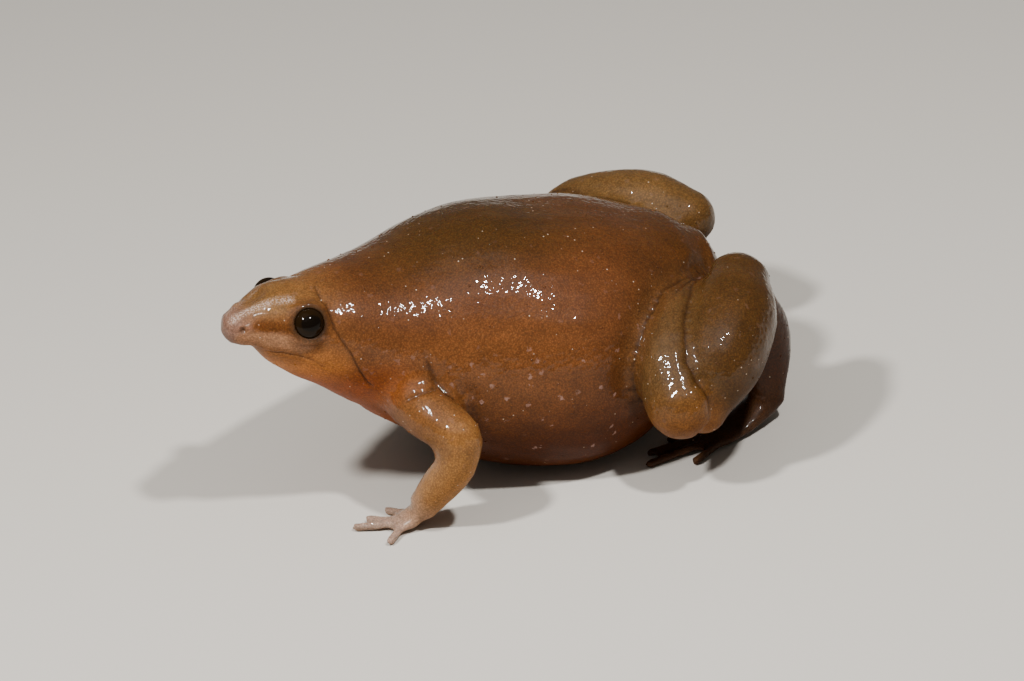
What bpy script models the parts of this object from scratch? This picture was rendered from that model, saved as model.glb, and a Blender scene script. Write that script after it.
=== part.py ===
"""A small plump burrowing frog at life size, sitting with its head raised and its hind legs folded.

The frog faces -X, its right side is +Y and +Z is up. It is modelled whole, in millimetres, and parted into
nodes by thin cuts. The belly, hands and feet end in small flats at one level, on which the model stands.
The origin is the middle of that level.
"""

import math

import bmesh
import bpy
import numpy as np
from mathutils import Matrix, Vector
from mathutils.bvhtree import BVHTree

# Driving sizes, in millimetres
GAP = 0.28
EYE_RADIUS = 0.9
EYE_GAP = 0.14
EYE_OUT = 0.36
LID = 0.13
LIP_RADIUS = 0.2
LIP_RISE = 0.16
LIP_OUT = 0.08
MOUTH_RADIUS = 0.1
NOSTRIL_RADIUS = 0.15
DIGIT_RADIUS = 0.29
FLOOR = 0.07
SMALL_CUTTER = 6.0
MILLIMETRE = 0.001

BACK_BROWN = (0.23, 0.11, 0.05)
HEAD_TAN = (0.36, 0.18, 0.08)
ARM_TAN = (0.3, 0.17, 0.09)
LEG_OLIVE = (0.2, 0.13, 0.06)
HAND_PINK = (0.42, 0.27, 0.2)
EYE_BLACK = (0.012, 0.009, 0.007)

# The body from snout to rump: x, midline y, height of the widest level, half width, rise above it, drop below
# it, and how square the lower half is (2 is round)
BODY = (
    (-17.5, -2.95, 12.4, 1.3, 1.15, 0.88, 2.0),
    (-16.9, -2.8, 12.35, 1.75, 1.67, 1.22, 2.0),
    (-16.0, -2.65, 12.2, 2.3, 2.15, 2.1, 2.0),
    (-14.4, -2.3, 11.75, 2.9, 2.4, 2.9, 2.0),
    (-12.6, -1.95, 11.0, 3.7, 3.2, 3.4, 2.0),
    (-10.3, -1.35, 9.9, 4.9, 4.25, 4.2, 2.0),
    (-7.4, -0.7, 8.6, 6.2, 6.15, 5.4, 2.1),
    (-4.0, -0.2, 7.6, 7.5, 6.95, 7.1, 2.3),
    (0.0, 0.0, 7.1, 8.4, 6.6, 7.4, 2.8),
    (3.4, 0.1, 6.9, 7.9, 6.1, 7.1, 2.6),
    (6.2, 0.1, 6.8, 6.4, 5.2, 6.0, 2.3),
    (8.2, 0.1, 6.8, 4.9, 4.5, 4.7, 2.1),
    (9.4, 0.1, 6.8, 3.5, 3.5, 3.2, 2.0),
)
VENT_BLUNTNESS = 0.4

# The neck is parted along the fold that runs down behind the eyes
NECK_POINT = (-12.85, -2.0, 11.0)
NECK_TILT = 15.6
NECK_YAW = 9.0

# The head is turned to its left. Marks on its left side are mirrored across its midline
HEAD_MIDDLE = (-14.4, -2.3)
HEAD_YAW = 11.0
EYE = (-14.25, -4.5, 12.55)
NOSTRIL = (-17.7, -4.1, 12.9)
CHIN = (-18.1, -3.05, 11.5)
MOUTH = ((-17.5, -3.95, 11.65), (-16.7, -4.4, 11.55), (-15.9, -4.7, 11.4), (-14.7, -4.9, 10.8), (-13.8, -5.05, 10.15))

# Limbs from root to end: x, y, z, half width, half depth
LIMBS = {
    "upper_arm_left": ((-9.2, -4.4, 7.2, 1.8, 1.8), (-8.65, -6.9, 6.7, 1.55, 1.55), (-7.7, -8.8, 5.9, 1.25, 1.25)),
    "forearm_left": (
        (-7.7, -8.8, 5.9, 1.25, 1.25),
        (-8.1, -8.6, 4.2, 1.2, 1.15),
        (-9.1, -7.6, 2.4, 1.05, 0.95),
        (-9.8, -6.9, 1.1, 0.8, 0.72),
    ),
    "hand_left": ((-9.8, -6.9, 1.1, 0.82, 0.72), (-10.4, -6.8, 0.62, 0.95, 0.5), (-11.0, -6.7, 0.45, 0.9, 0.4)),
    "upper_arm_right": ((-7.8, 3.6, 7.2, 1.8, 1.8), (-6.2, 6.4, 6.7, 1.55, 1.55), (-4.9, 8.5, 5.9, 1.25, 1.25)),
    "forearm_right": (
        (-4.9, 8.5, 5.9, 1.25, 1.25),
        (-5.0, 8.9, 4.2, 1.2, 1.15),
        (-5.5, 8.9, 2.4, 1.05, 0.95),
        (-6.0, 8.8, 1.1, 0.8, 0.72),
    ),
    "hand_right": ((-6.0, 8.8, 1.1, 0.82, 0.72), (-6.5, 9.0, 0.62, 0.95, 0.5), (-7.0, 9.2, 0.45, 0.9, 0.4)),
    "thigh_left": (
        (8.0, -2.6, 7.4, 2.4, 2.6),
        (6.3, -5.6, 7.4, 2.6, 2.9),
        (5.1, -8.2, 6.8, 2.5, 2.7),
        (4.6, -10.2, 5.6, 2.15, 2.2),
    ),
    "shank_left": (
        (5.6, -10.3, 5.0, 1.4, 1.6),
        (6.9, -9.3, 6.8, 2.5, 2.6),
        (8.8, -7.0, 8.2, 2.6, 2.6),
        (9.9, -5.2, 8.95, 2.0, 1.9),
    ),
    "tarsus_left": ((10.9, -4.6, 7.8, 1.3, 1.3), (11.7, -4.6, 5.0, 1.3, 1.4), (11.3, -5.0, 1.5, 1.0, 1.0)),
    "foot_left": ((11.3, -5.0, 1.5, 1.0, 1.0), (9.6, -5.5, 0.7, 1.1, 0.55), (7.9, -6.0, 0.45, 1.15, 0.42)),
    "thigh_right": (
        (8.0, 2.8, 7.4, 2.4, 2.6),
        (6.2, 5.8, 7.6, 2.7, 2.8),
        (4.0, 8.4, 7.4, 2.5, 2.5),
        (3.1, 10.0, 7.0, 2.0, 2.0),
    ),
    "shank_right": (
        (3.7, 10.2, 6.7, 1.4, 1.6),
        (6.1, 9.4, 7.6, 2.3, 2.4),
        (9.1, 7.2, 8.3, 2.4, 2.4),
        (10.9, 5.3, 8.2, 1.8, 1.8),
    ),
    "tarsus_right": ((10.8, 5.2, 7.4, 1.3, 1.3), (10.9, 5.4, 5.0, 1.3, 1.4), (10.5, 5.8, 1.5, 1.0, 1.0)),
    "foot_right": ((10.5, 5.8, 1.5, 1.0, 1.0), (8.9, 6.5, 0.7, 1.1, 0.55), (7.3, 7.2, 0.45, 1.15, 0.42)),
}

# Fingers and toes: points along each, the first inside the palm or sole
DIGITS = {
    "hand_left": (
        ((-10.0, -6.3, 0.6), (-10.6, -5.5, 0.36), (-11.1, -4.9, 0.3)),
        ((-10.8, -6.5, 0.5), (-11.7, -5.9, 0.36), (-12.3, -5.3, 0.3)),
        ((-11.0, -6.7, 0.5), (-12.2, -6.3, 0.38), (-13.2, -5.8, 0.3)),
        ((-10.9, -7.0, 0.5), (-11.5, -7.6, 0.36), (-12.0, -8.1, 0.3)),
    ),
    "hand_right": (
        ((-6.3, 8.4, 0.6), (-6.6, 7.8, 0.36), (-6.9, 7.1, 0.3)),
        ((-6.8, 8.9, 0.5), (-7.6, 8.7, 0.36), (-8.2, 8.5, 0.3)),
        ((-7.0, 9.3, 0.5), (-8.0, 9.7, 0.38), (-9.0, 10.1, 0.3)),
        ((-6.8, 9.6, 0.5), (-7.4, 10.4, 0.36), (-7.7, 11.1, 0.3)),
    ),
    "foot_left": (
        ((9.0, -5.2, 0.5), (8.0, -4.5, 0.38), (7.3, -4.2, 0.3)),
        ((8.2, -5.5, 0.5), (6.6, -5.1, 0.38), (5.5, -4.9, 0.3)),
        ((7.9, -5.9, 0.5), (5.8, -5.8, 0.4), (4.0, -5.7, 0.3)),
        ((7.9, -6.3, 0.5), (5.6, -6.6, 0.4), (3.5, -6.9, 0.3)),
        ((8.1, -6.6, 0.5), (6.9, -7.2, 0.38), (5.9, -7.8, 0.3)),
    ),
    "foot_right": (
        ((8.4, 6.1, 0.5), (7.4, 5.5, 0.38), (6.7, 5.3, 0.3)),
        ((7.6, 6.6, 0.5), (6.1, 6.3, 0.38), (5.0, 6.2, 0.3)),
        ((7.3, 7.1, 0.5), (5.3, 7.2, 0.4), (3.5, 7.2, 0.3)),
        ((7.3, 7.5, 0.5), (5.1, 8.2, 0.4), (3.0, 8.8, 0.3)),
        ((7.5, 7.8, 0.5), (6.3, 8.7, 0.38), (5.3, 9.6, 0.3)),
    ),
}

# What parts each limb from the pieces beside it: whole pieces that it is cut back from, and joints cut square
CUT_BACK = {
    "upper_arm": ("body",),
    "forearm": ("body",),
    "hand": (),
    "shank": ("body",),
    "thigh": ("body", "shank"),
    "tarsus": ("body", "shank", "thigh"),
    "foot": (),
}
JOINTS = (("upper_arm", "forearm"), ("forearm", "hand"), ("tarsus", "foot"))

for old in list(bpy.data.objects):
    bpy.data.objects.remove(old)

frog = bpy.data.collections.new("burrowing_frog")
cutters = bpy.data.collections.new("cutters")
bpy.context.scene.collection.children.link(frog)
bpy.context.scene.collection.children.link(cutters)


def smooth_rows(keys, step):
    """Rows on a smooth curve through the key rows, about step apart."""
    keys = np.array(keys, float)
    keys = np.vstack([2 * keys[0] - keys[1], keys, 2 * keys[-1] - keys[-2]])
    rows = []
    for a, b, c, d in zip(keys, keys[1:], keys[2:], keys[3:]):
        pieces = max(1, round(float(np.linalg.norm(c[:3] - b[:3])) / step))
        for t in np.arange(pieces) / pieces:
            straight = 2 * b + (c - a) * t
            rows.append(0.5 * (straight + (2 * a - 5 * b + 4 * c - d) * t**2 + (3 * b - a - 3 * c + d) * t**3))
    rows.append(keys[-2])
    return np.array(rows)


def tube(name, keys, sides=16, step=0.8, grow=0.0, up=(0.0, 0.0, 1.0), end=1.0, place=None):
    """A closed oval tube with rounded ends along key rows of x, y, z, half width, rise, drop and squareness."""
    full = [tuple(k) + ((k[4], 2.0) if len(k) == 5 else ()) for k in keys]
    rows = smooth_rows(full, step)
    along = np.gradient(rows[:, :3], axis=0)
    along /= np.linalg.norm(along, axis=1)[:, None]
    sections = [(row[:3], t, row[3:6] + grow, row[6]) for row, t in zip(rows, along)]
    shape = bmesh.new()
    for (centre, t, half, square), sign in ((sections[0], -1), (sections[-1], 1)):
        reach = half.mean() * (end if sign > 0 else 1.0)
        cap = []
        for angle in (25, 50, 72):
            lean = math.radians(angle)
            cap.append((centre + sign * t * reach * math.sin(lean), t, half * math.cos(lean), square))
        sections = cap[::-1] + sections if sign < 0 else sections + cap
        pole = shape.verts.new(centre + sign * t * reach)
        pole.index = 0
    poles = list(shape.verts)
    loops = []
    for centre, t, (wide, rise, drop), square in sections:
        side = np.cross(t, up)
        side /= np.linalg.norm(side)
        over = np.cross(side, t)
        loop = []
        for i in range(sides):
            angle = 2 * math.pi * (i + 0.5) / sides
            c, s = math.cos(angle), math.sin(angle)
            power = 1.0 if s > 0 else 2 / square
            across = math.copysign(abs(c) ** power, c) * wide
            height = abs(s) ** power * (rise if s > 0 else -drop)
            loop.append(shape.verts.new(centre + side * across + over * height))
        loops.append(loop)
    for first, second in zip(loops, loops[1:]):
        for i in range(sides):
            shape.faces.new((first[i - 1], first[i], second[i], second[i - 1]))
    for pole, loop in zip(poles, (loops[0], loops[-1])):
        for i in range(sides):
            shape.faces.new((pole, loop[i - 1], loop[i]))
    bmesh.ops.recalc_face_normals(shape, faces=shape.faces)
    if shape.calc_volume(signed=True) < 0:
        bmesh.ops.reverse_faces(shape, faces=shape.faces)
    return finish(shape, name, place or frog)


def finish(shape, name, place):
    """An object in metres from a shape in millimetres."""
    bmesh.ops.scale(shape, vec=(MILLIMETRE,) * 3, verts=shape.verts)
    mesh = bpy.data.meshes.new(name)
    shape.to_mesh(mesh)
    shape.free()
    mesh.shade_smooth()
    thing = bpy.data.objects.new(name, mesh)
    place.objects.link(thing)
    if place is cutters:
        thing.hide_render = True
        thing.display_type = "WIRE"
    return thing


def cut(thing, cutter, operation="DIFFERENCE"):
    step = thing.modifiers.new(f"{operation.lower()} {cutter.name}", "BOOLEAN")
    step.operation = operation
    step.solver = "EXACT"
    step.object = cutter


def ring(name, centre, axis, major, minor):
    """A round bead laid in a ring about an axis."""
    shape = bmesh.new()
    around, across = 14, 6
    loops = []
    for i in range(around):
        spin = Matrix.Rotation(2 * math.pi * i / around, 4, "Z") @ Matrix.Translation((major, 0, 0))
        loops.append([])
        for j in range(across):
            angle = 2 * math.pi * j / across
            loops[-1].append(shape.verts.new(spin @ Vector((minor * math.cos(angle), 0, minor * math.sin(angle)))))
    for i in range(around):
        for j in range(across):
            shape.faces.new((loops[i - 1][j - 1], loops[i][j - 1], loops[i][j], loops[i - 1][j]))
    rotation = Vector((0, 0, 1)).rotation_difference(Vector(axis)).to_matrix().to_4x4()
    bmesh.ops.transform(shape, matrix=Matrix.Translation(centre) @ rotation, verts=shape.verts)
    bmesh.ops.recalc_face_normals(shape, faces=shape.faces)
    return finish(shape, name, cutters)


def ball(name, centre, radius, place, sides=18, rings=10):
    shape = bmesh.new()
    bmesh.ops.create_uvsphere(shape, u_segments=sides, v_segments=rings, radius=radius)
    bmesh.ops.translate(shape, vec=centre, verts=shape.verts)
    return finish(shape, name, place)


def slab(name, centre, normal, side, size=60.0):
    """A box with one face on a plane, lying on one side of it."""
    shape = bmesh.new()
    bmesh.ops.create_cube(shape, size=size)
    for v in shape.verts:
        v.co.x += side * size / 2
    rotation = Vector((1, 0, 0)).rotation_difference(Vector(normal)).to_matrix().to_4x4()
    bmesh.ops.transform(shape, matrix=Matrix.Translation(centre) @ rotation, verts=shape.verts)
    return finish(shape, name, cutters)


floor_cut = slab("floor cut", (0, 0, FLOOR), (0, 0, 1), -1)

# Head and torso
tilt = math.radians(NECK_TILT)
yaw = math.radians(NECK_YAW)
neck_normal = np.array([math.cos(tilt) * math.cos(yaw), math.cos(tilt) * math.sin(yaw), math.sin(tilt)])
behind = slab("behind the neck", np.array(NECK_POINT) - neck_normal * GAP / 2, neck_normal, 1)
ahead = slab("ahead of the neck", np.array(NECK_POINT) + neck_normal * GAP / 2, neck_normal, -1)
head = tube("head", BODY[:8], sides=36, step=0.48)
torso = tube("torso", BODY, sides=32, step=0.85, end=VENT_BLUNTNESS)
cut(head, behind)
cut(torso, ahead)
cut(torso, floor_cut)
grown_body = tube("grown body", BODY, sides=32, step=0.85, grow=GAP, end=VENT_BLUNTNESS, place=cutters)

# Eyes in their sockets, each with a rim of lid round it, and the nostrils in their raised rims
turn = math.radians(HEAD_YAW)
forward = np.array([-math.cos(turn), -math.sin(turn), 0.0])
leftward = np.array([math.sin(turn), -math.cos(turn), 0.0])
upward = np.array([0.0, 0.0, 1.0])
middle = np.array([*HEAD_MIDDLE, 0.0])


def mirrored(point):
    point = np.array(point, float)
    return point - 2 * np.dot(point - middle, leftward) * leftward


skin = BVHTree.FromPolygons([v.co / MILLIMETRE for v in head.data.vertices], [p.vertices[:] for p in head.data.polygons])
for side, outward in (("left", leftward), ("right", -leftward)):
    look = 0.88 * outward + 0.4 * upward + 0.15 * forward
    look /= np.linalg.norm(look)
    centre = np.array(EYE) if side == "left" else mirrored(EYE)
    lid = ball(f"lid {side}", centre, EYE_RADIUS + EYE_GAP + LID, cutters)
    cut(lid, slab(f"past lid {side}", centre + EYE_OUT * look, look, 1, SMALL_CUTTER))
    cut(head, lid, "UNION")
    pit, normal = skin.find_nearest(NOSTRIL if side == "left" else mirrored(NOSTRIL))[:2]
    cut(head, ring(f"nostril rim {side}", pit - 0.04 * normal, normal, NOSTRIL_RADIUS * 1.5, NOSTRIL_RADIUS * 0.6), "UNION")
    cut(head, ball(f"nostril {side}", pit + 0.05 * normal, NOSTRIL_RADIUS, cutters, 10, 6))
    ball(f"eye_{side}", centre, EYE_RADIUS, frog)
    cut(head, ball(f"socket {side}", centre, EYE_RADIUS + EYE_GAP, cutters))

# The mouth: a line cut under the overhanging snout, with the swell of the upper lip above it and a little inside
line = [mirrored(p) for p in MOUTH[::-1]] + [np.array(CHIN)] + [np.array(p) for p in MOUTH]
line = [np.array(skin.find_nearest(p)[0]) for p in line]
lip = []
for p in line:
    inward = middle + (0, 0, p[2]) - p
    lip.append((*(p + LIP_RISE * upward + LIP_OUT * inward), LIP_RADIUS, LIP_RADIUS))
cut(head, tube("upper lip", lip, sides=6, step=0.8, place=cutters), "UNION")
slit = tube("mouth line", [(*p, MOUTH_RADIUS, MOUTH_RADIUS) for p in line], sides=5, step=0.6, place=cutters)
cut(head, slit)

# Limbs
for side in ("left", "right"):
    limbs, grown = {}, {"body": grown_body}
    for part in CUT_BACK:
        name = f"{part}_{side}"
        up = (1.0, 0.0, 0.0) if part in ("tarsus", "forearm", "upper_arm") else (0.0, 0.0, 1.0)
        fine = 16 if part in ("thigh", "shank") else 12
        limbs[part] = tube(name, LIMBS[name], sides=fine, up=up)
        grown[part] = tube(f"grown {name}", LIMBS[name], sides=fine, up=up, grow=GAP, place=cutters)
        for n, digit in enumerate(DIGITS.get(name, ())):
            keys = [(*p, DIGIT_RADIUS, DIGIT_RADIUS) for p in digit]
            cut(limbs[part], tube(f"{name} digit {n}", keys, sides=6, step=1.1, place=cutters), "UNION")
        cut(limbs[part], floor_cut)
    for part, others in CUT_BACK.items():
        for other in others:
            cut(limbs[part], grown[other])
    for first, second in JOINTS:
        a, b = np.array(LIMBS[f"{first}_{side}"][-2][:3]), np.array(LIMBS[f"{first}_{side}"][-1][:3])
        c = np.array(LIMBS[f"{second}_{side}"][1][:3])
        normal = (b - a) / np.linalg.norm(b - a) + (c - b) / np.linalg.norm(c - b)
        normal /= np.linalg.norm(normal)
        cut(limbs[first], slab(f"past {first}_{side}", b - normal * GAP / 2, normal, 1, SMALL_CUTTER))
        cut(limbs[second], slab(f"before {second}_{side}", b + normal * GAP / 2, normal, -1, SMALL_CUTTER))

colours = {
    "head": HEAD_TAN,
    "torso": BACK_BROWN,
    "eye": EYE_BLACK,
    "hand": HAND_PINK,
    "upper": ARM_TAN,
    "forearm": ARM_TAN,
}
for node in frog.objects:
    material = bpy.data.materials.new(node.name)
    material.use_nodes = True
    surface = material.node_tree.nodes["Principled BSDF"]
    surface.inputs["Base Color"].default_value = (*colours.get(node.name.split("_")[0], LEG_OLIVE), 1)
    surface.inputs["Roughness"].default_value = 0.1 if node.name.startswith("eye") else 0.4
    node.data.materials.append(material)

# The origin is the middle of the floor under the whole frog
bpy.context.view_layer.update()
graph = bpy.context.evaluated_depsgraph_get()
corners = np.array([v.co for node in frog.objects for v in node.evaluated_get(graph).data.vertices])
low, high = corners.min(axis=0), corners.max(axis=0)
shift = Matrix.Translation((-(low[0] + high[0]) / 2, -(low[1] + high[1]) / 2, -low[2]))
for thing in (*frog.objects, *cutters.objects):
    thing.data.transform(shift)
print("shifted by", [round(x / MILLIMETRE, 3) for x in shift.to_translation()], "mm")
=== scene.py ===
"""A small plump burrowing frog at life size: its skin, its eyes and the light it is shown in.

The frog faces -X, its right side is +Y and +Z is up. The skin is worked in millimetres, as a modeller would,
and brought to metres at the end.
"""

import math

import bmesh
import bpy
import numpy as np
from mathutils import Matrix, Vector, noise
from mathutils.bvhtree import BVHTree


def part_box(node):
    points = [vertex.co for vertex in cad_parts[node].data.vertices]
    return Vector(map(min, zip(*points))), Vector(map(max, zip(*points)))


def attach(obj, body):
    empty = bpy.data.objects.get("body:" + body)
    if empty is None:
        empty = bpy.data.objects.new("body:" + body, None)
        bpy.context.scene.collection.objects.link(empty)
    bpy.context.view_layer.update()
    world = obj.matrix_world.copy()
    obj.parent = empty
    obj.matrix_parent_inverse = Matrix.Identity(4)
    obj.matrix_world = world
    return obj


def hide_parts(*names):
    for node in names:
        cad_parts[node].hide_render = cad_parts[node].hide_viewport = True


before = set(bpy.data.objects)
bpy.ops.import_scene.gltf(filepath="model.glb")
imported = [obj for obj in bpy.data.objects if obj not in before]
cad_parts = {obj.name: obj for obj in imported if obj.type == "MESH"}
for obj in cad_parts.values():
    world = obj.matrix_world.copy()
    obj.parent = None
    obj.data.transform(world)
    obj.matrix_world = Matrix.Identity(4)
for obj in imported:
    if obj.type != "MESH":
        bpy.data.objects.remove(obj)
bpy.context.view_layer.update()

# Skin, its form: one soft wet sheet over flesh and bone, drawn tight over the back and loose at the limbs.
# It is cast over all solids of flesh at once, so no seam shows, drawn smooth and pressed in at the folds.
MM = 0.001
FLESH = [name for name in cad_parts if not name.startswith("eye")]
EYES = ["eye_left", "eye_right"]
SHEET = 0.206
SWELL = 0.27
SWELL_OF_DIGITS = 0.08
TOE_CLEARANCE = 0.75
WELD = 0.002
SLACK = {
    "torso": 1.0,
    "head": 0.8,
    "thigh": 0.9,
    "shank": 0.9,
    "tarsus": 0.6,
    "upper": 0.9,
    "forearm": 0.5,
    "hand": 0.12,
    "foot": 0.12,
}


def part_in_mm(name):
    """A welded copy of a node in millimetres."""
    part = bmesh.new()
    part.from_mesh(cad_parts[name].data)
    bmesh.ops.scale(part, vec=(1 / MM,) * 3, verts=part.verts)
    bmesh.ops.remove_doubles(part, verts=part.verts, dist=WELD)
    part.normal_update()
    return part


def kind_of(name):
    return name.split("_")[0]


def swell_of(name):
    return SWELL_OF_DIGITS if kind_of(name) in ("hand", "foot") else SWELL


def largest_shell(mesh):
    """Loose scraps are dropped, and the one closed sheet stays."""
    shape = bmesh.new()
    shape.from_mesh(mesh)
    unseen = set(shape.verts)
    shells = []
    while unseen:
        shell = [unseen.pop()]
        for v in shell:
            fresh = {e.other_vert(v) for e in v.link_edges} & unseen
            unseen -= fresh
            shell += fresh
        shells.append(shell)
    shells.sort(key=len)
    bmesh.ops.delete(shape, geom=[v for shell in shells[:-1] for v in shell], context="VERTS")
    shape.to_mesh(mesh)
    shape.free()
    return mesh


def cast_over(parts, spacing):
    """One closed sheet over all the parts together."""
    whole = bpy.data.meshes.new("cast")
    heap = bmesh.new()
    for part in parts:
        piece = bpy.data.meshes.new("piece")
        part.to_mesh(piece)
        heap.from_mesh(piece)
        bpy.data.meshes.remove(piece)
    heap.to_mesh(whole)
    heap.free()
    form = bpy.data.objects.new("cast", whole)
    bpy.context.collection.objects.link(form)
    remesh = form.modifiers.new("sheet", "REMESH")
    remesh.mode = "VOXEL"
    remesh.voxel_size = spacing
    graph = bpy.context.evaluated_depsgraph_get()
    sheet = bpy.data.meshes.new_from_object(form.evaluated_get(graph))
    bpy.data.objects.remove(form)
    return largest_shell(sheet)


def places(mesh):
    co = np.zeros(len(mesh.vertices) * 3)
    mesh.vertices.foreach_get("co", co)
    return co.reshape(-1, 3)


def facing(mesh):
    no = np.zeros(len(mesh.vertices) * 3, np.float32)
    mesh.vertices.foreach_get("normal", no)
    return no.reshape(-1, 3).astype(float)


def put(mesh, co):
    mesh.vertices.foreach_set("co", co.astype(np.float32).ravel())
    mesh.update()


def sum_of_neighbours(values, edges, count):
    total = np.zeros_like(values)
    for k in range(values.shape[1]):
        total[:, k] = np.bincount(edges[:, 0], values[edges[:, 1], k], count)
        total[:, k] += np.bincount(edges[:, 1], values[edges[:, 0], k], count)
    return total


STEP_IN = 0.6
STEP_BACK = -0.61


def relaxed(values, mesh, rounds, amount, hold=True):
    """Values spread evenly over the sheet. With hold, every second step swells it back to keep its size."""
    edges = np.zeros(len(mesh.edges) * 2, int)
    mesh.edges.foreach_get("vertices", edges)
    edges = edges.reshape(-1, 2)
    count = len(mesh.vertices)
    degree = np.bincount(edges.ravel(), minlength=count)[:, None]
    values = values.copy()
    for n in range(rounds):
        pull = sum_of_neighbours(values, edges, count) / degree - values
        step = STEP_IN if n % 2 == 0 or not hold else STEP_BACK
        values += pull * step * amount
    return values


def ease(value, low, high):
    """0 up to low, 1 from high on, and smooth between."""
    t = np.clip((value - low) / (high - low), 0, 1)
    return t * t * (3 - 2 * t)


def bell(distance, width):
    return np.exp(-((distance / width) ** 2))


NEAR_ENOUGH = 2.5


def solid_tree(name):
    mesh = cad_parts[name].data
    corners = [v.co / MM for v in mesh.vertices]
    return BVHTree.FromPolygons(corners, [p.vertices[:] for p in mesh.polygons])


solids = {name: solid_tree(name) for name in FLESH}


def distances(co):
    """How far each point is from each solid of flesh, up to a limit past which it doesn't matter."""
    points = [Vector(p) for p in co]
    result = {}
    for name, tree in solids.items():
        away = (tree.find_nearest(p, NEAR_ENOUGH)[3] for p in points)
        result[name] = np.array([NEAR_ENOUGH if d is None else d for d in away])
    return result


def blend(away, values, width):
    """A value for each kind of flesh, mixed smoothly where one passes into the next."""
    names = list(away)
    weight = np.array([bell(away[name], width) for name in names]) + 1e-9
    table = np.array([np.atleast_1d(values[kind_of(name)]) for name in names], float)
    return np.einsum("nk,nc->kc", weight / weight.sum(0), table)


swollen = []
for name in FLESH:
    part = part_in_mm(name)
    for v in part.verts:
        v.co += v.normal * swell_of(name)
        if kind_of(name) == "foot":
            # toes keep clear of the belly, so that the sheet doesn't join them to it
            _, outward, _, gap = solids["torso"].find_nearest(v.co)
            v.co += outward * max(TOE_CLEARANCE - gap, 0)
    swollen.append(part)
swollen += [part_in_mm(name) for name in EYES]
sheet = cast_over(swollen, SHEET)
for part in swollen:
    part.free()
put(sheet, relaxed(places(sheet), sheet, 8, 1.0))
away = distances(places(sheet))
swell = blend(away, {kind_of(name): swell_of(name) for name in FLESH}, 0.5)
put(sheet, places(sheet) - facing(sheet) * swell)
slack = blend(away, SLACK, 0.8)


# The folds where a limb lies against the body or against itself: how near each point is to each of them.
def limbs_of(away, side):
    return {
        "body": np.minimum(away["head"], away["torso"]),
        "thigh": away[f"thigh_{side}"],
        "shank": away[f"shank_{side}"],
        "heel": np.minimum(away[f"tarsus_{side}"], away[f"foot_{side}"]),
    }


FOLDS = {
    ("body", "thigh"): (0.12, 0.12),
    ("thigh", "shank"): (0.14, 0.12),
    ("body", "shank"): (0.08, 0.08),
    ("shank", "heel"): (0.12, 0.1),
    ("thigh", "heel"): (0.1, 0.05),
}


def folds_near(away):
    """For each fold: its depths, how far a point lies to one side of it, and whether it is there at all."""
    for side in ("left", "right"):
        limbs = limbs_of(away, side)
        for pair, depths in FOLDS.items():
            first = limbs[pair[0]]
            second = limbs[pair[1]]
            yield depths, np.abs(first - second), 1 - ease(first + second, 1.0, 2.2)


for _, across, there in folds_near(away):
    slack *= 1 - 0.5 * (bell(across, 0.5) * there)[:, None]
put(sheet, relaxed(places(sheet), sheet, 120, slack))
co = places(sheet)
outward = relaxed(facing(sheet), sheet, 12, 1.0, hold=False)
outward /= np.linalg.norm(outward, axis=1)[:, None]
settle = np.full(len(co), 0.06)
for (narrow, wide), across, there in folds_near(distances(co)):
    co -= outward * ((narrow * bell(across, 0.35) + wide * bell(across, 0.9)) * there)[:, None]
    settle = np.maximum(settle, bell(across, 0.5) * there)
put(sheet, relaxed(co, sheet, 24, settle[:, None]))

# Skin of the head, hands and folds: the sheet is made finer where it carries small forms. All places are in
# millimetres from the middle of the floor under the frog.
EYE_RADIUS = 0.9
HEAD_MIDDLE = np.array([-11.6, -2.1, 0.0])
HEAD_YAW = math.radians(11.0)
FORWARD = np.array([-math.cos(HEAD_YAW), -math.sin(HEAD_YAW), 0.0])
LEFTWARD = np.array([math.sin(HEAD_YAW), -math.cos(HEAD_YAW), 0.0])
UPWARD = np.array([0.0, 0.0, 1.0])
NOSTRIL = (-14.92, -3.86, 12.76)
MOUTH = (
    (-15.3, -2.85, 11.43),
    (-14.7, -3.65, 11.45),
    (-13.89, -3.9, 11.2),
    (-13.06, -4.45, 11.19),
    (-12.19, -4.57, 10.85),
    (-11.55, -4.68, 10.45),
    (-11.02, -4.77, 9.95),
)
NAPE_FOLD = (
    (-10.46, -2.38, 13.84),
    (-10.45, -3.08, 13.66),
    (-10.41, -3.73, 13.35),
    (-10.22, -4.42, 12.85),
    (-10.16, -4.9, 12.08),
    (-9.92, -5.1, 11.44),
    (-9.5, -5.23, 10.48),
    (-9.14, -5.13, 9.36),
    (-8.74, -5.01, 8.46),
    (-8.33, -5.02, 7.99),
)
SHOULDER_FOLD = (
    (-7.45, -6.42, 7.45),
    (-7.13, -6.65, 7.77),
    (-6.62, -6.82, 8.01),
    (-6.0, -6.91, 8.09),
    (-5.41, -6.6, 8.03),
)
FLANK_FOLD = (
    (-5.69, -5.91, 10.3),
    (-5.64, -5.97, 9.65),
    (-5.5, -6.1, 9.0),
    (-5.37, -6.19, 8.46),
    (-5.22, -6.47, 8.06),
    (-4.95, -6.92, 7.72),
    (-4.62, -7.19, 7.37),
)
FAR_LEG_FOLD = (
    (7.4, 10.4, 9.3),
    (7.83, 9.86, 9.55),
    (8.36, 8.77, 9.75),
    (8.84, 6.84, 10.22),
    (9.52, 5.74, 10.22),
)
BACK_RIDGE = (
    (4.0, 0.9, 13.5),
    (6.99, 0.39, 12.72),
    (9.24, 0.26, 11.85),
    (11.0, -0.3, 11.0),
)


def mirrored(point):
    point = np.array(point, float)
    return point - 2 * np.dot(point - HEAD_MIDDLE, LEFTWARD) * LEFTWARD


def both_sides(line):
    return [np.array(line, float), np.array([mirrored(p) for p in line])]


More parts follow.
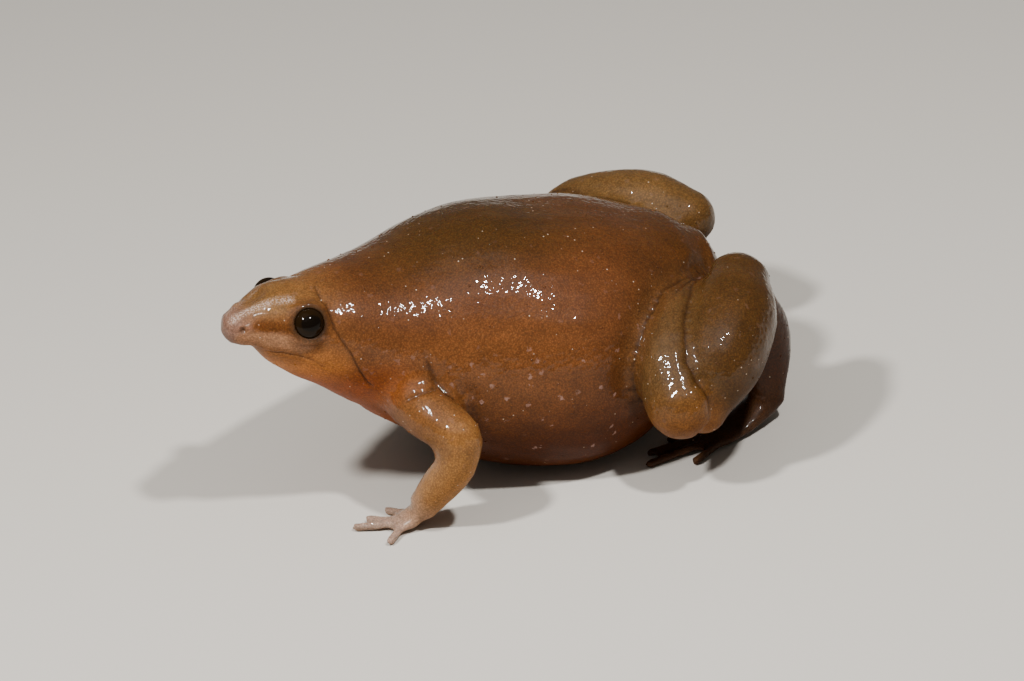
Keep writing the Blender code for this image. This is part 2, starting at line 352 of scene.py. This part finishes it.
def along(co, line):
    """How far each point lies from a line of points, and how far along it, from 0 to 1."""
    best = np.full(len(co), 1e9)
    place = np.zeros(len(co))
    for n, (a, b) in enumerate(zip(line, line[1:])):
        share = np.clip((co - a) @ (b - a) / np.dot(b - a, b - a), 0, 1)
        away = np.linalg.norm(co - a - share[:, None] * (b - a), axis=1)
        place = np.where(away < best, (n + share) / (len(line) - 1), place)
        best = np.minimum(best, away)
    return best, place


def reach(co, line):
    return along(co, np.array(line, float))[0]


def laid(line):
    """The line with its points set closer and laid onto the sheet."""
    corners = [Vector(p) for p in places(sheet)]
    surface = BVHTree.FromPolygons(corners, [p.vertices[:] for p in sheet.polygons])
    steps = np.linspace(0, 1, 4, endpoint=False)[:, None]
    closer = [a + steps * (b - a) for a, b in zip(line, line[1:])]
    return np.array([surface.find_nearest(p)[0] for p in np.vstack(closer + [line[-1:]])])


def apart(co, point):
    return np.linalg.norm(co - np.array(point), axis=1)


def eye_of(name):
    low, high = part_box(name)
    return np.array((low + high) / 2) / MM


eyes = []
for name, outward in (("eye_left", LEFTWARD), ("eye_right", -LEFTWARD)):
    look = 0.88 * outward + 0.4 * UPWARD + 0.15 * FORWARD
    eyes.append((name, eye_of(name), look / np.linalg.norm(look)))
nostrils = [np.array(solids["head"].find_nearest(p)[0]) for p in (NOSTRIL, mirrored(NOSTRIL))]
mouths = both_sides(MOUTH)
napes = both_sides(NAPE_FOLD)


def finer(mesh, wanted):
    """The mesh with the edges inside the wanted places halved."""
    shape = bmesh.new()
    shape.from_mesh(mesh)
    chosen = wanted(np.array([v.co for v in shape.verts]))
    edges = [e for e in shape.edges if chosen[e.verts[0].index] and chosen[e.verts[1].index]]
    bmesh.ops.subdivide_edges(shape, edges=edges, cuts=1, use_grid_fill=True)
    bmesh.ops.triangulate(shape, faces=[f for f in shape.faces if len(f.verts) > 4])
    shape.to_mesh(mesh)
    shape.free()
    mesh.update()
    return mesh


def near_face(co, margin):
    chosen = np.zeros(len(co), bool)
    for _, centre, look in eyes:
        chosen |= (apart(co, centre) < 1.15 + margin) & ((co - centre) @ look > -0.55)
    for place in nostrils:
        chosen |= apart(co, place) < 0.32 + margin
    for line in mouths:
        chosen |= reach(co, line) < 0.13 + margin
    for line in napes:
        chosen |= reach(co, line) < 0.1 + margin
    return chosen


def near_limbs(co):
    away = distances(co)
    chosen = np.minimum.reduce([away[n] for n in FLESH if kind_of(n) in ("hand", "foot")]) < 0.3
    for _, across, there in folds_near(away):
        chosen |= (across < 0.32) & (there > 0.4)
    for line in (SHOULDER_FOLD, FLANK_FOLD, FAR_LEG_FOLD):
        chosen |= reach(co, line) < 0.4
    return chosen


sheet = finer(sheet, lambda co: near_face(co, 0.3) | near_limbs(co))
sheet = finer(sheet, lambda co: near_face(co, 0.0))
put(sheet, relaxed(places(sheet), sheet, 6, 0.8))

# Skin, its small forms: the folds of the limbs sharpened, lids that hug the eyes, nostrils with a soft bump
# behind, the line of the mouth under a full lip, folds at nape, shoulder and flank, and low lumps of flesh.
LID_WALL = (0.72, 0.82)
LID_FLOOR = -0.35
LID_TOP = {"eye_left": 0.42, "eye_right": 0.08}
LID_ROLL = 0.03
SWELLINGS = (
    ((-14.72, -2.1, 13.38), 0.38, 0.2),
    ((-13.75, -2.1, 13.87), 0.9, -0.52),
    ((-6.8, -6.0, 8.2), 0.9, 0.12),
    ((-4.2, -6.5, 8.1), 1.2, 0.14),
    ((12.0, -0.3, 10.3), 1.3, 0.1),
    ((11.3, -2.45, 9.65), 0.9, 0.08),
    ((-14.3, -2.1, 13.62), 0.35, 0.12),
)
BROW_DIP = 0.2
RIDGE_DIP = 0.16
LIMB_CREASE = 0.06
FAR_LEG_CREASE = 0.07
DIGIT_THINNING = 0.03
LUMPS = ((1.3, 0.022), (0.55, 0.007))

co = places(sheet)
no = facing(sheet)
away = distances(co)
# Painted shade: each fold below also leaves a mask of painted shade, laid into the skin's colour further on.
crease_shades = []
pinched = np.zeros(len(co))
for _, across, there in folds_near(away):
    line = bell(across, 0.15) * there
    co -= no * (LIMB_CREASE * line)[:, None]
    crease_shades.append(0.8 * line)
    pinched = np.maximum(pinched, bell(across, 0.4) * there)
for place, radius, height in SWELLINGS:
    co += no * (height * bell(apart(co, place), radius))[:, None]
for _, centre, look in eyes:
    crown = centre + 1.05 * UPWARD - 0.75 * (look - look[2] * UPWARD)
    co -= no * (BROW_DIP * bell(apart(co, crown), 0.75))[:, None]
co -= no * (RIDGE_DIP * bell(reach(co, BACK_RIDGE), 2.2))[:, None]
put(sheet, co)
FAR_LEG = laid(np.array(FAR_LEG_FOLD))
SHOULDER = laid(np.array(SHOULDER_FOLD))
FLANK = laid(np.array(FLANK_FOLD))
gone = reach(co, FAR_LEG)
crease_shades.append(0.7 * bell(gone, 0.2))
co -= no * (FAR_LEG_CREASE * bell(gone, 0.35))[:, None]
for line, deep, dark in ((SHOULDER, 0.08, 0.5), (FLANK, 0.1, 0.75)):
    gone, place = along(co, line)
    there = ease(place, 0.0, 0.4)
    crease_shades.append(dark * there * bell(gone, 0.14))
    co -= no * (there * deep * (bell(gone, 0.14) + bell(gone, 0.45)))[:, None]
digits = blend(away, {kind_of(n): float(kind_of(n) in ("hand", "foot")) for n in FLESH}, 0.4)
co -= no * (DIGIT_THINNING * digits)
calm = ease(co[:, 0], -13.5, -10.5)
for size, height in LUMPS:
    lump = np.array([noise.noise(Vector(p) / size) for p in co])
    co += no * (height * lump * (0.35 + 0.65 * calm) * (1 - 0.7 * digits[:, 0]))[:, None]
put(sheet, relaxed(co, sheet, 4, 0.4))

co = places(sheet)
for name, centre, look in eyes:
    out = co - centre
    height = out @ look
    across = np.linalg.norm(out - height[:, None] * look, axis=1)
    lid = LID_FLOOR + (LID_TOP[name] - LID_FLOOR) * ease(across, *LID_WALL)
    lid = lid + LID_ROLL * bell(across - 0.93, 0.07)
    hold = (1 - ease(across, 0.98, 1.5)) * ease(height, -0.9, -0.5)
    co += ((lid - height) * hold)[:, None] * look
put(sheet, co)
no = facing(sheet)
for place in nostrils:
    gone = apart(co, place)
    behind = apart(co, place - 0.36 * FORWARD)
    rise = 0.13 * bell(behind, 0.17) + 0.03 * bell(gone - 0.25, 0.08)
    co += no * (rise - 0.26 * bell(gone, 0.14))[:, None]
for line in mouths:
    gone, place = along(co, line)
    above = reach(co, line + np.array([0, 0, 0.32]))
    below = reach(co, line - np.array([0, 0, 0.3]))
    groove = 0.055 * bell(gone, 0.06) * (1 - ease(place, 0.75, 1.0))
    co += no * (0.06 * bell(above, 0.22) + 0.03 * bell(below, 0.2) - groove)[:, None]
put(sheet, co)
napes = [laid(line) for line in napes]
for line in napes:
    gone, place = along(co, line)
    depth = ease(place, 0.0, 0.12) * (1 - ease(place, 0.93, 1.0))
    crease_shades.append(0.7 * depth * bell(gone, 0.07))
    co -= no * (depth * ((0.05 + 0.03 * place) * bell(gone, 0.055) + 0.05 * bell(gone, 0.3)))[:, None]
co[:, 2] = np.maximum(co[:, 2], 0.0)
put(sheet, co)
no = facing(sheet)

# Skin, its colours: masks painted over the sheet, each soft at its edges. Among them are painted shade at
# the rump, low on the belly, in the folds, nostril pits and mouth line, painted bounce light on the jaw and
# painted sheen on the canthus.
TINTS = {
    "torso": (0.1, 0.031, 0.0072),
    "head": (0.1, 0.031, 0.0072),
    "upper": (0.15, 0.057, 0.014),
    "forearm": (0.275, 0.118, 0.028),
    "hand": (0.33, 0.215, 0.155),
    "thigh": (0.09, 0.044, 0.013),
    "shank": (0.06, 0.024, 0.004),
    "tarsus": (0.03, 0.007, 0.0005),
    "foot": (0.06, 0.025, 0.01),
}
HEAD_TAN = (0.175, 0.064, 0.016)
FLANK_COPPER = (0.145, 0.048, 0.011)
RIDGE_DARK = (0.05, 0.02, 0.003)
RUMP_SHADE = (0.068, 0.022, 0.003)
BELLY_SHADE = (0.062, 0.013, 0.0003)
CREASE_SHADE = (0.03, 0.01, 0.002)
LID_DARK = (0.042, 0.021, 0.009)
LOREAL_BROWN = (0.1, 0.03, 0.004)
SNOUT_PINK = (0.18, 0.095, 0.066)
NOSTRIL_PINK = (0.36, 0.18, 0.14)
JAW_APRICOT_AND_BOUNCE_LIGHT = (0.5, 0.17, 0.028)
CANTHUS_PALE_AND_SHEEN = (0.32, 0.19, 0.11)
LIP_PALE = (0.31, 0.145, 0.068)
CROWN_TAN = (0.15, 0.067, 0.017)
THROAT_ORANGE = (0.24, 0.05, 0.001)
FAR_LEG_OLIVE = (0.11, 0.053, 0.014)
KNEE_RUST = (0.19, 0.062, 0.007)
LEFT_KNEE = (7.2, -10.8, 4.6)
RIGHT_KNEE = (6.2, 11.0, 4.6)
SNOUT_TIP = (-15.4, -2.9, 12.6)
DRY_PLACES = (((11.3, -2.4, 9.6), 1.3, 0.85), ((-6.6, -6.3, 8.4), 1.0, 0.7))
CANTHUS = ((-15.3, -3.2, 13.15), (-14.4, -3.15, 13.5), (-13.5, -3.4, 13.66), (-12.11, -3.56, 13.71))
LOREAL = ((-14.1, -4.0, 12.86), (-13.32, -4.41, 12.78), (-12.82, -4.57, 12.67), (-12.3, -4.6, 12.6))
LOREAL_EDGE = ((-14.1, -4.1, 12.68), (-13.2, -4.45, 12.56), (-12.4, -4.65, 12.42))
LIP = ((-14.9, -3.9, 12.1), (-13.2, -4.6, 12.0), (-12.0, -4.9, 11.5))


def paint(tint, colour, amount):
    return tint + (np.array(colour) - tint) * np.clip(amount, 0, 1)[:, None]


def stripe(co, line, full, gone):
    """1 along a line of points, on both sides of the head, fading to 0."""
    closest = np.minimum(*(reach(co, side) for side in both_sides(line)))
    return 1 - ease(closest, full, gone)


tint = blend(away, TINTS, 0.9)
side = (co - HEAD_MIDDLE) @ -LEFTWARD
body = blend(away, {kind_of(n): float(kind_of(n) in ("head", "torso")) for n in FLESH}, 0.7)[:, 0]
head = body * (1 - ease(co[:, 0] + 0.35 * (co[:, 2] - 12), -12.8, -7.2))
torso = body - head
length = co[:, 0]
high = co[:, 2]
tint = paint(tint, HEAD_TAN, head)
tint = paint(tint, FLANK_COPPER, torso * (1 - ease(length, -4, 8)) * (1 - ease(high, 9.0, 12.5)))
tint = paint(tint, RIDGE_DARK, torso * ease(high, 11.8, 14.2) * ease(length, -10.5, -4))
# painted shade: darker towards the top of the rump
tint = paint(tint, RUMP_SHADE, torso * ease(length, 4, 11) * ease(high, 6, 10))
# painted shade: darker low on the belly and chest
tint = paint(tint, BELLY_SHADE, torso * (1 - ease(high, 2.5, 7.8)) * ease(length, -9, -5))
# apricot jaw, spread wider and brighter as painted bounce light from below
tint = paint(tint, JAW_APRICOT_AND_BOUNCE_LIGHT, 0.85 * body * (1 - ease(high, 9.2, 11.9)) * ease(-length, 8.8, 10.8))
tint = paint(tint, THROAT_ORANGE, body * (1 - ease(high, 8.0, 10.3)) * ease(-length, 5.5, 8))
tint = paint(tint, CROWN_TAN, head * ease(high, 12.8, 13.6))
tint = paint(tint, FAR_LEG_OLIVE, (1 - body) * ease(co[:, 1], 2, 6) * ease(length, 2, 5) * ease(high, 5, 8))
knee = np.minimum(apart(co, LEFT_KNEE), apart(co, RIGHT_KNEE))
tint = paint(tint, KNEE_RUST, 0.8 * (1 - body) * (1 - ease(knee, 1.0, 3.0)))
tint = paint(tint, SNOUT_PINK, 0.9 * (1 - ease(apart(co, SNOUT_TIP), 0.5, 1.9)))
tint = paint(tint, LIP_PALE, 0.9 * stripe(co, LIP, 0.2, 0.75))
tint = paint(tint, LOREAL_BROWN, 0.9 * stripe(co, LOREAL, 0.12, 0.5))
tint = paint(tint, LOREAL_BROWN, 0.8 * stripe(co, LOREAL_EDGE, 0.03, 0.18))
# pale canthal stripe, partly the skin's own colour and partly painted sheen, stronger on the left side
tint = paint(tint, CANTHUS_PALE_AND_SHEEN, 0.3 * stripe(co, CANTHUS, 0.05, 0.5) * ease(-side, -0.2, 0.6))
for _, centre, _ in eyes:
    tint = paint(tint, LOREAL_BROWN, 0.7 * (1 - ease(apart(co, centre), 1.0, 1.6)))
    tint = paint(tint, LID_DARK, 0.9 * (1 - ease(apart(co, centre), 0.9, 1.32)))
# a pink bump behind each nostril; painted shade in the nostril pit and along the mouth line
for place in nostrils:
    tint = paint(tint, NOSTRIL_PINK, 0.8 * (1 - ease(apart(co, place - 0.36 * FORWARD), 0.1, 0.3)))
    tint = paint(tint, CREASE_SHADE, 0.65 * (1 - ease(apart(co, place), 0.08, 0.3)))
for line in mouths:
    tint = paint(tint, CREASE_SHADE, 0.22 * (1 - ease(reach(co, line), 0.02, 0.12)))
# painted shade along every fold
for crease in crease_shades:
    tint = paint(tint, CREASE_SHADE, crease)


def attribute(mesh, name, kind, values):
    layer = mesh.attributes.new(name, kind, "POINT")
    layer.data.foreach_set("color" if kind == "FLOAT_COLOR" else "value", values.astype(np.float32).ravel())


flecked = torso * (1 - ease(high, 6.5, 11)) * ease(high, 1.0, 3.0)
arm = blend(away, {kind_of(n): float(kind_of(n) in ("upper", "forearm", "hand")) for n in FLESH}, 0.7)[:, 0]
wet = 0.06 + 0.94 * ease(no[:, 2], -0.35, 0.3)
wet *= 1 - 0.8 * (1 - arm) * (1 - ease(high, 1.0, 5.0))
for place, radius, dry in DRY_PLACES:
    wet *= 1 - dry * bell(apart(co, place), radius)
wet *= 1 - 0.6 * pinched
attribute(sheet, "tint", "FLOAT_COLOR", np.hstack([tint, np.ones((len(tint), 1))]))
attribute(sheet, "fleck", "FLOAT", flecked + 0.12)
# the canthal stripe that carries the painted glints of the finish
attribute(sheet, "pale", "FLOAT", stripe(co, CANTHUS, 0.05, 0.4) * (0.35 + 0.65 * ease(-side, -0.2, 0.6)))
attribute(sheet, "wet", "FLOAT", wet)
CLUSTER_RADIUS = 0.3
FEW_WARTS = 0.02
WART_CLUSTERS = ((4.14, -2.91, 12.94), (-7.77, -3.28, 13.37), (-7.24, -3.64, 13.1), (5.2, -3.85, 12.36))
clusters = sum(bell(apart(co, spot), CLUSTER_RADIUS) for spot in WART_CLUSTERS)
strewn = (torso + 0.5 * head + 0.8 * (1 - body)) * ease(high, 1.5, 4.0) * (1 - digits[:, 0])
bumpy = np.maximum(FEW_WARTS * strewn, clusters)
attribute(sheet, "bumpy", "FLOAT", bumpy)

# Skin, its finish: wet and glossy over fine golden granules, with pale flecks low on the flanks, pale specks
# that are partly painted glints, and painted glints along the canthus. Every pattern is set by its real size
# in millimetres.
MOTTLE_SIZE = 1.6
FINE_SIZE = 0.14
GRAIN_SIZE = 0.1
FLECK_SIZE = 0.85
RAGGED_SIZE = 0.2
PAINTED_GLINT_SIZE = 0.09
DUST_AND_GLINT_SIZE = 0.5
FILM_SIZE = 0.3
FLECK_PINK = (0.32, 0.18, 0.14)
PAINTED_GLINT_PALE = (0.6, 0.46, 0.38)
DUST_AND_GLINT_PALE = (0.6, 0.46, 0.33)
GRAIN_HEIGHT = 0.014
FILM_HEIGHT = 0.05
WETTEST = 0.85
wet_skin = bpy.data.materials.new("wet_skin")
wet_skin.use_nodes = True
tree = wet_skin.node_tree
surface = tree.nodes["Principled BSDF"]
join = tree.links.new


def node(kind, **values):
    """A node with its settings, and its sockets by name with _ for a space."""
    made = tree.nodes.new(kind)
    for name, value in values.items():
        if name.replace("_", " ") in made.inputs:
            made.inputs[name.replace("_", " ")].default_value = value
        else:
            setattr(made, name, value)
    return made


where = node("ShaderNodeTexCoord")


def pattern(kind, size_mm, output, **values):
    """A pattern over the object, size_mm from one repeat to the next."""
    made = node(kind, Scale=1 / (size_mm * MM), **values)
    join(where.outputs["Object"], made.inputs["Vector"])
    return made.outputs[output]


def ranged(value, low, high, first, last):
    made = node("ShaderNodeMapRange", From_Min=low, From_Max=high, To_Min=first, To_Max=last)
    join(value, made.inputs["Value"])
    return made.outputs["Result"]


def times(first, second):
    made = node("ShaderNodeMath", operation="MULTIPLY")
    join(first, made.inputs[0])
    join(second, made.inputs[1])
    return made.outputs["Value"]


def scaled(colour, factor):
    made = node("ShaderNodeVectorMath", operation="SCALE")
    join(colour, made.inputs[0])
    join(factor, made.inputs["Scale"])
    return made.outputs["Vector"]


def over(colour, amount, top):
    """The colour with another laid over it by an amount."""
    made = node("ShaderNodeMix", data_type="RGBA")
    join(amount, made.inputs[0])
    join(colour, made.inputs[6])
    made.inputs[7].default_value = (*top, 1)
    return made.outputs[2]


mottle = pattern("ShaderNodeTexNoise", MOTTLE_SIZE, "Fac", Detail=5.0, Roughness=0.65)
fine = pattern("ShaderNodeTexNoise", FINE_SIZE, "Fac", Detail=2.0)
grains = pattern("ShaderNodeTexVoronoi", GRAIN_SIZE, "Distance")
colour = node("ShaderNodeAttribute", attribute_name="tint").outputs["Color"]
colour = scaled(colour, ranged(mottle, 0.3, 0.7, 0.82, 1.2))
colour = scaled(colour, ranged(fine, 0.3, 0.7, 0.82, 1.2))
colour = scaled(colour, ranged(grains, 0.1, 0.65, 1.2, 0.74))
ragged = node("ShaderNodeMath", operation="MULTIPLY_ADD")
join(pattern("ShaderNodeTexNoise", RAGGED_SIZE, "Fac", Detail=2.0), ragged.inputs[0])
ragged.inputs[1].default_value = 0.75
join(pattern("ShaderNodeTexVoronoi", FLECK_SIZE, "Distance"), ragged.inputs[2])
fleck = node("ShaderNodeAttribute", attribute_name="fleck").outputs["Fac"]
blotch = times(ranged(ragged.outputs["Value"], 0.46, 0.54, 0.65, 0.0), ranged(mottle, 0.38, 0.46, 0.0, 1.0))
colour = over(colour, times(blotch, fleck), FLECK_PINK)
# painted glints: pale granular specks laid along the canthal stripe
pale = node("ShaderNodeAttribute", attribute_name="pale").outputs["Fac"]
glint_noise = pattern("ShaderNodeTexNoise", PAINTED_GLINT_SIZE, "Fac", Detail=1.0)
painted_glints = ranged(glint_noise, 0.42, 0.62, 0.0, 0.6)
colour = over(colour, times(painted_glints, pale), PAINTED_GLINT_PALE)
# pale specks, partly whitish spots on the skin and partly painted glints
dust_and_glints = ranged(pattern("ShaderNodeTexVoronoi", DUST_AND_GLINT_SIZE, "Distance"), 0.05, 0.1, 0.8, 0.0)
colour = over(colour, times(dust_and_glints, ranged(mottle, 0.5, 0.56, 0.0, 1.0)), DUST_AND_GLINT_PALE)
join(colour, surface.inputs["Base Color"])

granules = node("ShaderNodeBump", Strength=0.6, Distance=GRAIN_HEIGHT * MM)
join(grains, granules.inputs["Height"])
join(granules.outputs["Normal"], surface.inputs["Normal"])
film = node("ShaderNodeBump", Strength=1.0, Distance=FILM_HEIGHT * MM)
join(pattern("ShaderNodeTexNoise", FILM_SIZE, "Fac", Detail=0.6), film.inputs["Height"])
join(film.outputs["Normal"], surface.inputs["Coat Normal"])
surface.inputs["Roughness"].default_value = 0.5
surface.inputs["Specular IOR Level"].default_value = 0.1
wet = node("ShaderNodeAttribute", attribute_name="wet").outputs["Fac"]
join(ranged(wet, 0.0, 1.0, 0.0, WETTEST), surface.inputs["Coat Weight"])
surface.inputs["Coat Roughness"].default_value = 0.03
surface.inputs["Coat IOR"].default_value = 1.33
surface.inputs["Subsurface Weight"].default_value = 0.15
surface.inputs["Subsurface Radius"].default_value = (1.0, 0.4, 0.2)
surface.inputs["Subsurface Scale"].default_value = 0.4 * MM

sheet.transform(Matrix.Scale(MM, 4))
sheet.shade_smooth()
skin = bpy.data.objects.new("skin", sheet)
bpy.context.collection.objects.link(skin)
sheet.materials.clear()
sheet.materials.append(wet_skin)

# Tubercles: low round warts of the skin itself, strewn over back, flanks and limbs, with a few close groups.
# A tree of Geometry Nodes sets them on the sheet, thickest where its "bumpy" value is high.
SMALLEST_WART = 0.03 * MM
LARGEST_WART = 0.08 * MM
WART_SPACING = 0.13 * MM
WARTS_AT_MOST = 60 / MM**2
WART_FLATNESS = 0.6
warts_tree = bpy.data.node_groups.new("warts", "GeometryNodeTree")
for name, kind in (
    ("Sheet", "NodeSocketGeometry"),
    ("Spacing", "NodeSocketFloat"),
    ("Density", "NodeSocketFloat"),
    ("Smallest", "NodeSocketFloat"),
    ("Largest", "NodeSocketFloat"),
    ("Finish", "NodeSocketMaterial"),
):
    warts_tree.interface.new_socket(name, in_out="INPUT", socket_type=kind)
warts_tree.interface.new_socket("Warts", in_out="OUTPUT", socket_type="NodeSocketGeometry")
step = warts_tree.nodes.new
given = step("NodeGroupInput")
bumpy_value = step("GeometryNodeInputNamedAttribute")
bumpy_value.data_type = "FLOAT"
bumpy_value.inputs["Name"].default_value = "bumpy"
strewn = step("GeometryNodeDistributePointsOnFaces")
strewn.distribute_method = "POISSON"
strewn.inputs["Seed"].default_value = 7
dome = step("GeometryNodeMeshUVSphere")
dome.inputs["Segments"].default_value = 8
dome.inputs["Rings"].default_value = 5
dome.inputs["Radius"].default_value = 1.0
size = step("FunctionNodeRandomValue")
size.data_type = "FLOAT"
size.inputs["Seed"].default_value = 3
low_dome = step("ShaderNodeVectorMath")
low_dome.operation = "SCALE"
low_dome.inputs[0].default_value = (1.0, 1.0, WART_FLATNESS)
placed = step("GeometryNodeInstanceOnPoints")
solid = step("GeometryNodeRealizeInstances")
smooth = step("GeometryNodeSetShadeSmooth")
finished = step("GeometryNodeSetMaterial")
result = step("NodeGroupOutput")
for source, output, target, socket in (
    (given, "Sheet", strewn, "Mesh"),
    (given, "Spacing", strewn, "Distance Min"),
    (given, "Density", strewn, "Density Max"),
    (bumpy_value, "Attribute", strewn, "Density Factor"),
    (given, "Smallest", size, "Min"),
    (given, "Largest", size, "Max"),
    (size, "Value", low_dome, "Scale"),
    (strewn, "Points", placed, "Points"),
    (dome, "Mesh", placed, "Instance"),
    (strewn, "Rotation", placed, "Rotation"),
    (low_dome, "Vector", placed, "Scale"),
    (placed, "Instances", solid, "Geometry"),
    (solid, "Geometry", smooth, "Geometry"),
    (smooth, "Geometry", finished, "Geometry"),
    (given, "Finish", finished, "Material"),
    (finished, "Geometry", result, "Warts"),
):
    out = next(s for s in source.outputs if s.name == output and s.enabled)
    into = next(s for s in target.inputs if s.name == socket and s.enabled)
    warts_tree.links.new(out, into)
warts = bpy.data.objects.new("tubercles", sheet.copy())
bpy.context.collection.objects.link(warts)
strew = warts.modifiers.new("strew", "NODES")
strew.node_group = warts_tree
sockets = {item.name: item.identifier for item in warts_tree.interface.items_tree if item.in_out == "INPUT"}
strew[sockets["Spacing"]] = WART_SPACING
strew[sockets["Density"]] = WARTS_AT_MOST
strew[sockets["Smallest"]] = SMALLEST_WART
strew[sockets["Largest"]] = LARGEST_WART
strew[sockets["Finish"]] = wet_skin
graph = bpy.context.evaluated_depsgraph_get()
strewn_mesh = bpy.data.meshes.new_from_object(warts.evaluated_get(graph))
warts.modifiers.remove(strew)
warts.data = strewn_mesh
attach(warts, "root")

sheet.attributes.remove(sheet.attributes["bumpy"])
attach(skin, "root")
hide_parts(*FLESH)

# Eyes: small black-brown balls, wet and clear, set deep in their lids. The pupil is a broad black oval in a
# dark brown iris.
IRIS_BROWN = (0.011, 0.0052, 0.0015)
BLACK_BROWN = (0.004, 0.0025, 0.0015)
PUPIL_WIDE = 0.55
PUPIL_HIGH = 0.4
IRIS_RIM = (0.76, 0.88)
eye_finish = bpy.data.materials.new("wet_eye")
eye_finish.use_nodes = True
tree = eye_finish.node_tree
surface = tree.nodes["Principled BSDF"]
iris = tree.nodes.new("ShaderNodeAttribute")
iris.attribute_name = "iris"
depth_of_eye = tree.nodes.new("ShaderNodeMix")
depth_of_eye.data_type = "RGBA"
depth_of_eye.inputs[6].default_value = (*BLACK_BROWN, 1)
depth_of_eye.inputs[7].default_value = (*IRIS_BROWN, 1)
tree.links.new(iris.outputs["Fac"], depth_of_eye.inputs[0])
tree.links.new(depth_of_eye.outputs[2], surface.inputs["Base Color"])
surface.inputs["Roughness"].default_value = 0.35
surface.inputs["Specular IOR Level"].default_value = 0.0
surface.inputs["Coat Weight"].default_value = 0.4
surface.inputs["Coat IOR"].default_value = 1.36
surface.inputs["Coat Roughness"].default_value = 0.02
for name, centre, look in eyes:
    shape = bmesh.new()
    bmesh.ops.create_uvsphere(shape, u_segments=48, v_segments=32, radius=EYE_RADIUS)
    turn = Vector((0, 0, 1)).rotation_difference(Vector(look)).to_matrix().to_4x4()
    bmesh.ops.transform(shape, matrix=Matrix.Translation(Vector(centre)) @ turn, verts=shape.verts)
    ball = bpy.data.meshes.new(f"{name}_ball")
    shape.to_mesh(ball)
    shape.free()
    out = places(ball) - centre
    rise = out @ UPWARD - (out @ look) * look[2]
    wide = np.sqrt(np.maximum(np.sum(out**2, axis=1) - (out @ look) ** 2 - rise**2, 0))
    oval = np.hypot(wide / PUPIL_WIDE, rise / PUPIL_HIGH)
    rim = np.hypot(wide, rise)
    attribute(ball, "iris", "FLOAT", ease(oval, 0.95, 1.1) * (1 - ease(rim, *IRIS_RIM)))
    ball.transform(Matrix.Scale(MM, 4))
    ball.shade_smooth()
    ball.materials.append(eye_finish)
    eye = bpy.data.objects.new(f"{name}_ball", ball)
    bpy.context.collection.objects.link(eye)
    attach(eye, "root")
    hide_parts(name)

# Floor, light and camera: a pale plain floor, a broad soft light from above, and two small lamps by the
# camera, which give the wet skin its glints.
SIGHT_RIGHT = Vector((0.9387, -0.3341, -0.0846))
SIGHT_UP = Vector((0.2284, 0.4189, 0.8789))
SIGHT_BACK = Vector((-0.2581, -0.8444, 0.4695))
CAMERA = Vector((-0.06842, -0.2274, 0.13256))
LENS = 170.86
PAPER_PALE = (0.58, 0.54, 0.48, 1)
WARM_WHITE = (1.0, 0.96, 0.9, 1)
AIMED_AT = Vector((0, 0, 0.006))
camera = bpy.data.objects.new("camera", bpy.data.cameras.new("camera"))
camera.data.lens = LENS
camera.data.sensor_width = 36.0
camera.data.clip_start = 0.01
camera.data.clip_end = 10.0
sight = Matrix((SIGHT_RIGHT, SIGHT_UP, SIGHT_BACK)).transposed().to_4x4()
camera.matrix_world = Matrix.Translation(CAMERA) @ sight
bpy.context.collection.objects.link(camera)
bpy.context.scene.camera = camera

shape = bmesh.new()
bmesh.ops.create_grid(shape, x_segments=1, y_segments=1, size=1.0)
plane = bpy.data.meshes.new("floor")
shape.to_mesh(plane)
shape.free()
floor = bpy.data.objects.new("floor", plane)
bpy.context.collection.objects.link(floor)
paper = bpy.data.materials.new("pale_paper")
paper.use_nodes = True
paper.node_tree.nodes["Principled BSDF"].inputs["Base Color"].default_value = PAPER_PALE
paper.node_tree.nodes["Principled BSDF"].inputs["Roughness"].default_value = 0.9
plane.materials.append(paper)


def lamp(name, direction, distance, size, power):
    light = bpy.data.lights.new(name, "AREA")
    light.shape = "DISK"
    light.size = size
    light.energy = power
    thing = bpy.data.objects.new(name, light)
    aim = direction.normalized()
    thing.location = AIMED_AT + aim * distance
    thing.rotation_mode = "QUATERNION"
    thing.rotation_quaternion = aim.to_track_quat("Z", "Y")
    bpy.context.collection.objects.link(thing)


above = Vector((-0.3, -0.25, 1.0))
left = SIGHT_RIGHT * -0.5 + SIGHT_UP * 0.46 + SIGHT_BACK * 0.72
right = SIGHT_RIGHT * 0.25 + SIGHT_UP * 0.6 + SIGHT_BACK * 0.75
lamp("soft_top", above, distance=0.6, size=0.7, power=0.5)
lamp("lamp_left", left, distance=0.16, size=0.014, power=0.28)
lamp("lamp_right", right, distance=0.16, size=0.011, power=0.24)
world = bpy.data.worlds.new("studio")
world.use_nodes = True
world.node_tree.nodes["Background"].inputs["Color"].default_value = WARM_WHITE
world.node_tree.nodes["Background"].inputs["Strength"].default_value = 0.15
bpy.context.scene.world = world
